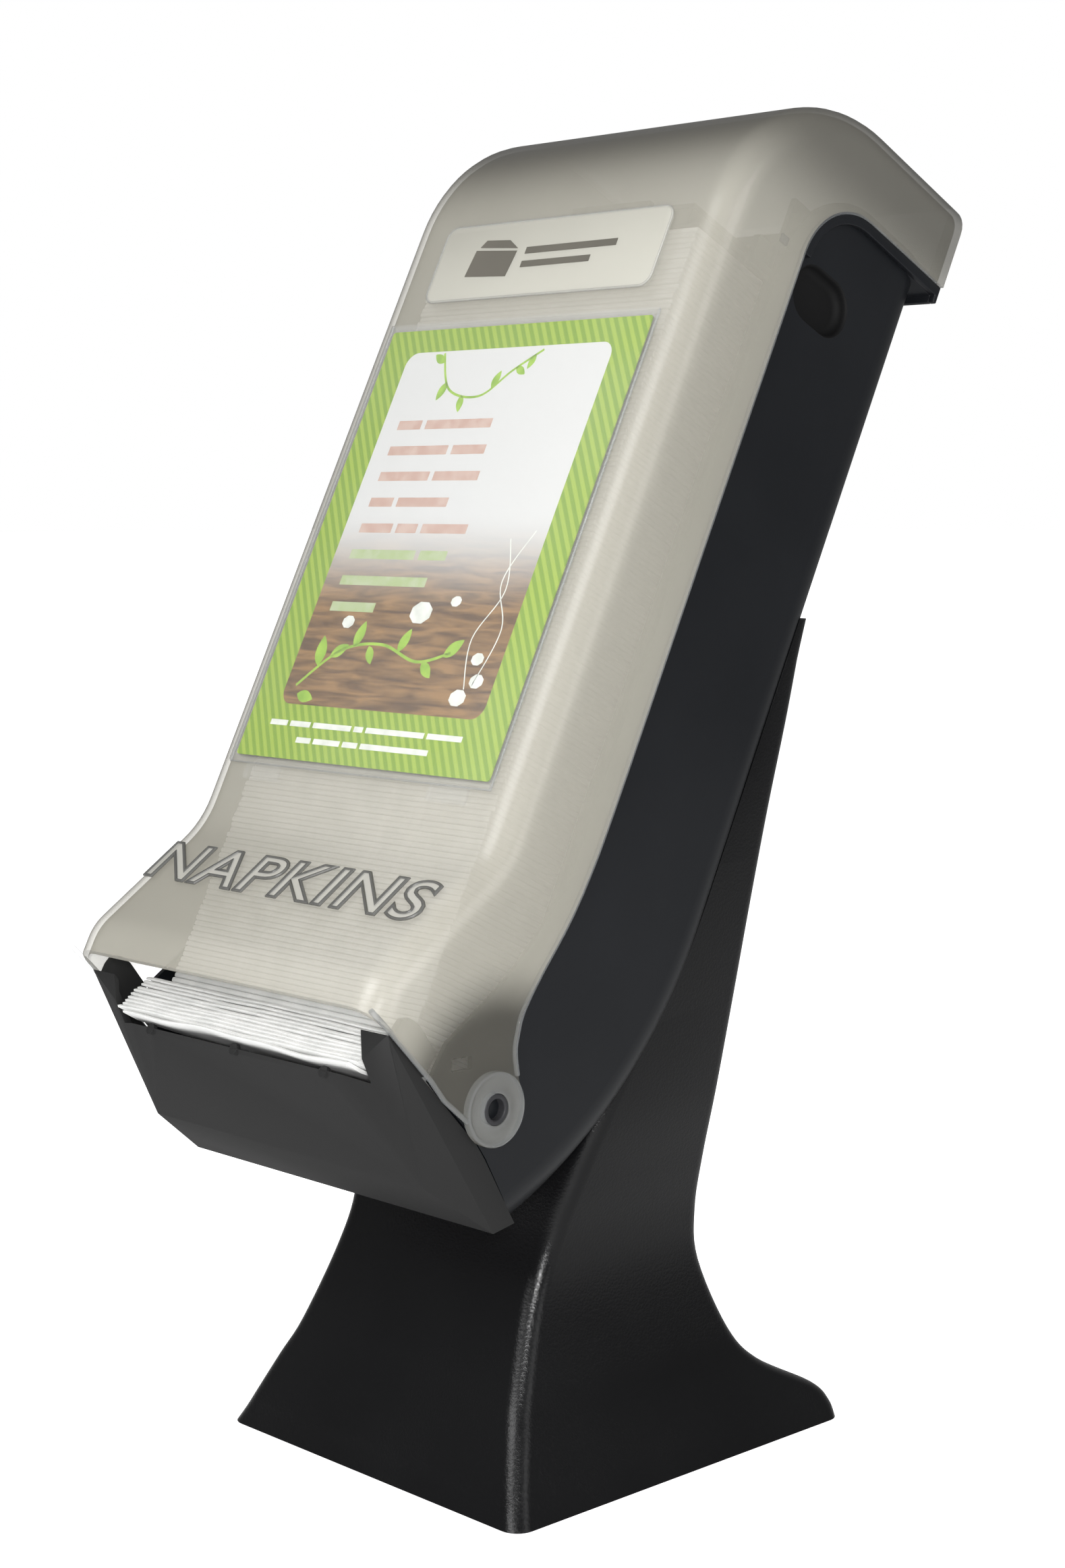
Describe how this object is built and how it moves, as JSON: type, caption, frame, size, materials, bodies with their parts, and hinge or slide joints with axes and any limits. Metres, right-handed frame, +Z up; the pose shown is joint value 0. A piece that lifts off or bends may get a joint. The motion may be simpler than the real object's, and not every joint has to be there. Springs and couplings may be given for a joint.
{
  "type": "napkin dispenser",
  "caption": "Counter-stand napkin dispenser: leaning trough with a weighted follower, hinged frosted cover and a front mouth that feeds folded napkins.",
  "frame": {"origin": "on the counter, under the middle of the object's outline", "axes": "+Z up, front and mouth towards -Y, +X to the right as seen from behind the mouth looking along +Y"},
  "size_m": [0.2076, 0.3684, 0.6047],
  "materials": {
    "stand": "satin moulded black",
    "ballast": "dull grey coated steel",
    "screw": "zinc plated",
    "foot": "matt black",
    "nut_plate": "zinc plated",
    "housing": "satin bluish black",
    "throat": "fine matt texture, neutral black",
    "rail": "smooth, low sheen",
    "boss": "smooth black",
    "lock": "satin nickel",
    "nut": "plain",
    "latch": "matt black",
    "spring": "bright wire",
    "cover": "frosted outside, polished edges and ears",
    "window": "clear polished plastic",
    "holder": "clear polished plastic",
    "card": "printed and coated",
    "follower": "matt grey-black",
    "weight": "plain steel block",
    "napkin": "soft embossed tissue"
  },
  "bodies": {
    "stand_and_trough": {"stand_shell": "stand", "ballast_plate": "ballast", "ballast_screws": "screw", "rubber_feet": "foot", "nut_plate": "nut_plate", "housing_screws": "screw", "trough_housing": "housing", "throat_plate": "throat", "throat_screws": "screw", "feed_tray": "rail", "hinge_boss_left": "boss", "hinge_boss_right": "boss", "guide_rail_left": "rail", "guide_rail_right": "rail", "rail_screws": "screw", "lock_barrel": "lock", "lock_nut": "nut", "latch_shoulder_screws": "screw", "latch_springs": "spring", "napkin_stack": "napkin", "mouth_napkins": "napkin"},
    "key": {"lock_plug": "lock", "lock_cam": "nut_plate", "cam_screw": "screw"},
    "latch": {"latch_bar": "latch"},
    "cover": {"cover": "cover", "badge_window": "window", "card_holder": "holder"},
    "card": {"display_card": "card"},
    "follower": {"follower_plate": "follower", "follower_weight": "weight", "follower_lid": "follower", "follower_lid_screws": "screw"}
  },
  "joints": [
    {"name": "cover_open", "type": "hinge", "parent": "stand_and_trough", "child": "cover", "pos_m": [0, -0.1195, 0.1862], "axis": [1, 0, 0], "range_deg": [0, 100]},
    {"name": "card_slide", "type": "slide", "parent": "cover", "child": "card", "axis": [0, 0.4462, 0.8949], "range_m": [0, 0.225]},
    {"name": "follower_slide", "type": "slide", "parent": "stand_and_trough", "child": "follower", "axis": [0, -0.4462, -0.8949], "range_m": [-0.006, 0.355], "deforming": ["napkin_stack"]},
    {"name": "key_turn", "type": "hinge", "parent": "stand_and_trough", "child": "key", "pos_m": [0, 0.14236, 0.49942], "axis": [0, -0.8949, 0.4462], "range_deg": [0, 90]},
    {"name": "latch_lift", "type": "slide", "parent": "stand_and_trough", "child": "latch", "axis": [0, 0.4462, 0.8949], "range_m": [0, 0.0054], "deforming": ["latch_springs"]}
  ],
  "couplings": [
    {"joint": "key_turn", "follows": "latch_lift", "rad_per_m": 290.89}
  ]
}
